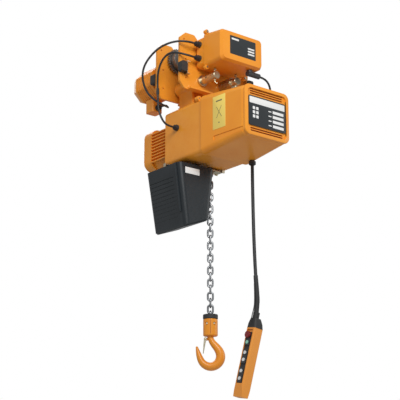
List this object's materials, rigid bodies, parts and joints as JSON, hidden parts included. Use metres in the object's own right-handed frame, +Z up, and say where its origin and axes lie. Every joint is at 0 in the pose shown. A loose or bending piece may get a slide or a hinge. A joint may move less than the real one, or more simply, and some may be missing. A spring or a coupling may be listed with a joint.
{
  "type": "electric chain hoist with motorised trolley",
  "caption": "Electric chain hoist hung from a motorised beam trolley, with chain, swivel load hook, chain container and push-button pendant.",
  "frame": {"origin": "centre of the beam flange's tread level, midway between the four track wheels", "axes": "+X along the beam, +Y across the beam towards the travel motor (controls on -Y), +Z up; the hoist hangs below"},
  "size_m": [0.5788, 0.823, 1.7381],
  "materials": {
    "yellow_paint": "semi-gloss enamel",
    "zinc_steel": "yellow zinc plate",
    "bearing_steel": "ground",
    "black_rubber": "matte",
    "windings": "varnished copper and steel sheet",
    "dark_plastic": "moulded",
    "label_film": "printed film without text",
    "chain_steel": "galvanised",
    "container_plastic": "semi-gloss slate blue",
    "orange_plastic": "semi-gloss",
    "cable_sheath": "matte",
    "gear_steel": "machined, oiled",
    "wheel_iron": "machined tread",
    "red_plastic": "dark red",
    "green_plastic": "mint green",
    "white_plastic": "white"
  },
  "bodies": {
    "hoist_frame": {"side_plate_front": "yellow_paint", "side_plate_rear": "yellow_paint", "shafts_and_axles": "zinc_steel", "washers_and_split_pins": "zinc_steel", "suspender": "yellow_paint", "wheel_bearings": "bearing_steel", "bumpers": "black_rubber", "brackets": "zinc_steel", "travel_gearcase": "yellow_paint", "travel_motor_housing": "yellow_paint", "travel_motor_end_cover": "yellow_paint", "hoist_body": "yellow_paint", "gear_cover": "yellow_paint", "motor_housing": "yellow_paint", "motor_end_cover": "yellow_paint", "stators": "windings", "trolley_box_base": "yellow_paint", "trolley_box_cover": "yellow_paint", "screws": "zinc_steel", "electrical_gear": "dark_plastic", "controller_cover": "yellow_paint", "name_plates": "label_film", "chain_over_wheel": "chain_steel", "chain_upper": "chain_steel", "chain_container_front": "container_plastic", "chain_container_rear": "container_plastic", "pendant_front_shell": "orange_plastic", "pendant_back_shell": "orange_plastic", "pendant_boot": "black_rubber", "button_panel": "dark_plastic", "cable_glands": "dark_plastic", "travel_motor_cable": "cable_sheath", "hoist_power_cable": "cable_sheath", "control_cable": "cable_sheath", "pendant_cable": "cable_sheath"},
    "hoist_rotor": {"motor_rotor": "gear_steel", "cooling_fan": "dark_plastic"},
    "counter": {"counter_shaft": "gear_steel"},
    "load_wheel": {"load_sheave": "gear_steel"},
    "hook_block": {"cushion_ring": "black_rubber", "yoke_left": "yellow_paint", "yoke_right": "yellow_paint", "block_pins_and_bearing": "zinc_steel", "chain_lower": "chain_steel"},
    "swivel_hook": {"hook": "yellow_paint"},
    "safety_latch": {"hook_latch": "zinc_steel"},
    "travel_motor_rotor": {"travel_rotor": "gear_steel"},
    "travel_idler": {"travel_idler_gear": "gear_steel"},
    "travel_drive": {"travel_drive_shaft": "gear_steel"},
    "wheel_rear_left": {"track_wheel_rear_left": "wheel_iron"},
    "wheel_rear_right": {"track_wheel_rear_right": "wheel_iron"},
    "wheel_front_left": {"track_wheel_front_left": "wheel_iron"},
    "wheel_front_right": {"track_wheel_front_right": "wheel_iron"},
    "upper_limit_lever": {"limit_lever": "zinc_steel"},
    "stop_push": {"stop_button": "red_plastic"},
    "start_push": {"start_button": "green_plastic"},
    "up_push": {"up_button": "white_plastic"},
    "down_push": {"down_button": "white_plastic"},
    "left_push": {"left_button": "white_plastic"},
    "right_push": {"right_button": "white_plastic"}
  },
  "joints": [
    {"name": "hoist_motor_turn", "type": "hinge", "parent": "hoist_frame", "child": "hoist_rotor", "pos_m": [0, 0, -0.352], "axis": [0, -1, 0], "range_deg": [0, 13530]},
    {"name": "counter_turn", "type": "hinge", "parent": "hoist_frame", "child": "counter", "pos_m": [0, 0, -0.4105], "axis": [0, -1, 0], "range_deg": [-2461, 0]},
    {"name": "load_wheel_turn", "type": "hinge", "parent": "hoist_frame", "child": "load_wheel", "pos_m": [0, 0, -0.352], "axis": [0, -1, 0], "range_deg": [0, 661], "deforming": ["chain_over_wheel"]},
    {"name": "hook_lift", "type": "slide", "parent": "hoist_frame", "child": "hook_block", "axis": [0, 0, 1], "range_m": [0, 0.5504], "deforming": ["chain_upper"]},
    {"name": "hook_swivel", "type": "hinge", "parent": "hook_block", "child": "swivel_hook", "pos_m": [0.0485, 0, -1.3], "axis": [0, 0, 1], "continuous": true},
    {"name": "latch_swing", "type": "hinge", "parent": "swivel_hook", "child": "safety_latch", "pos_m": [0.02974, 0.01497, -1.317], "axis": [-0.6239, -0.7815, 0], "range_deg": [0, 35], "stiffness_Nm_per_rad": 0.05, "springref_deg": -11.46},
    {"name": "travel_motor_turn", "type": "hinge", "parent": "hoist_frame", "child": "travel_motor_rotor", "pos_m": [-0.11, 0.23, -0.03], "axis": [0, 1, 0], "continuous": true},
    {"name": "travel_idler_turn", "type": "hinge", "parent": "hoist_frame", "child": "travel_idler", "pos_m": [-0.07209, 0.1, -0.00575], "axis": [0, 1, 0], "continuous": true},
    {"name": "travel_drive_turn", "type": "hinge", "parent": "hoist_frame", "child": "travel_drive", "pos_m": [0, 0.1, 0.02594], "axis": [0, 1, 0], "continuous": true},
    {"name": "wheel_rear_left_roll", "type": "hinge", "parent": "hoist_frame", "child": "wheel_rear_left", "pos_m": [-0.095, 0.053, 0.05], "axis": [0, 1, 0], "continuous": true},
    {"name": "wheel_rear_right_roll", "type": "hinge", "parent": "hoist_frame", "child": "wheel_rear_right", "pos_m": [0.095, 0.053, 0.05], "axis": [0, 1, 0], "continuous": true},
    {"name": "wheel_front_left_roll", "type": "hinge", "parent": "hoist_frame", "child": "wheel_front_left", "pos_m": [-0.095, -0.053, 0.05], "axis": [0, 1, 0], "continuous": true},
    {"name": "wheel_front_right_roll", "type": "hinge", "parent": "hoist_frame", "child": "wheel_front_right", "pos_m": [0.095, -0.053, 0.05], "axis": [0, 1, 0], "continuous": true},
    {"name": "limit_lever_swing", "type": "hinge", "parent": "hoist_frame", "child": "upper_limit_lever", "pos_m": [0.108, 0, -0.498], "axis": [0, 1, 0], "range_deg": [0, 5], "stiffness_Nm_per_rad": 0.5},
    {"name": "stop_press", "type": "slide", "parent": "hoist_frame", "child": "stop_push", "axis": [0.9855, 0.0116, -0.1692], "range_m": [0, 0.004]},
    {"name": "start_press", "type": "slide", "parent": "hoist_frame", "child": "start_push", "axis": [0.9855, 0.0116, -0.1692], "range_m": [0, 0.004], "stiffness_N_per_m": 300, "springref_m": -0.0005},
    {"name": "up_press", "type": "slide", "parent": "hoist_frame", "child": "up_push", "axis": [0.9855, 0.0116, -0.1692], "range_m": [0, 0.004], "stiffness_N_per_m": 300, "springref_m": -0.0005},
    {"name": "down_press", "type": "slide", "parent": "hoist_frame", "child": "down_push", "axis": [0.9855, 0.0116, -0.1692], "range_m": [0, 0.004], "stiffness_N_per_m": 300, "springref_m": -0.0005},
    {"name": "left_press", "type": "slide", "parent": "hoist_frame", "child": "left_push", "axis": [0.9855, 0.0116, -0.1692], "range_m": [0, 0.004], "stiffness_N_per_m": 300, "springref_m": -0.0005},
    {"name": "right_press", "type": "slide", "parent": "hoist_frame", "child": "right_push", "axis": [0.9855, 0.0116, -0.1692], "range_m": [0, 0.004], "stiffness_N_per_m": 300, "springref_m": -0.0005}
  ],
  "couplings": [
    {"joint": "counter_turn", "follows": "hoist_motor_turn", "ratio": -0.18182},
    {"joint": "load_wheel_turn", "follows": "hoist_motor_turn", "ratio": 0.04878},
    {"joint": "hook_lift", "follows": "hoist_motor_turn", "m_per_rad": 0.0023291},
    {"joint": "travel_idler_turn", "follows": "travel_motor_turn", "ratio": -0.5},
    {"joint": "travel_drive_turn", "follows": "travel_motor_turn", "ratio": 0.30769},
    {"joint": "wheel_rear_left_roll", "follows": "travel_motor_turn", "ratio": -0.17866},
    {"joint": "wheel_rear_right_roll", "follows": "travel_motor_turn", "ratio": -0.17866}
  ]
}
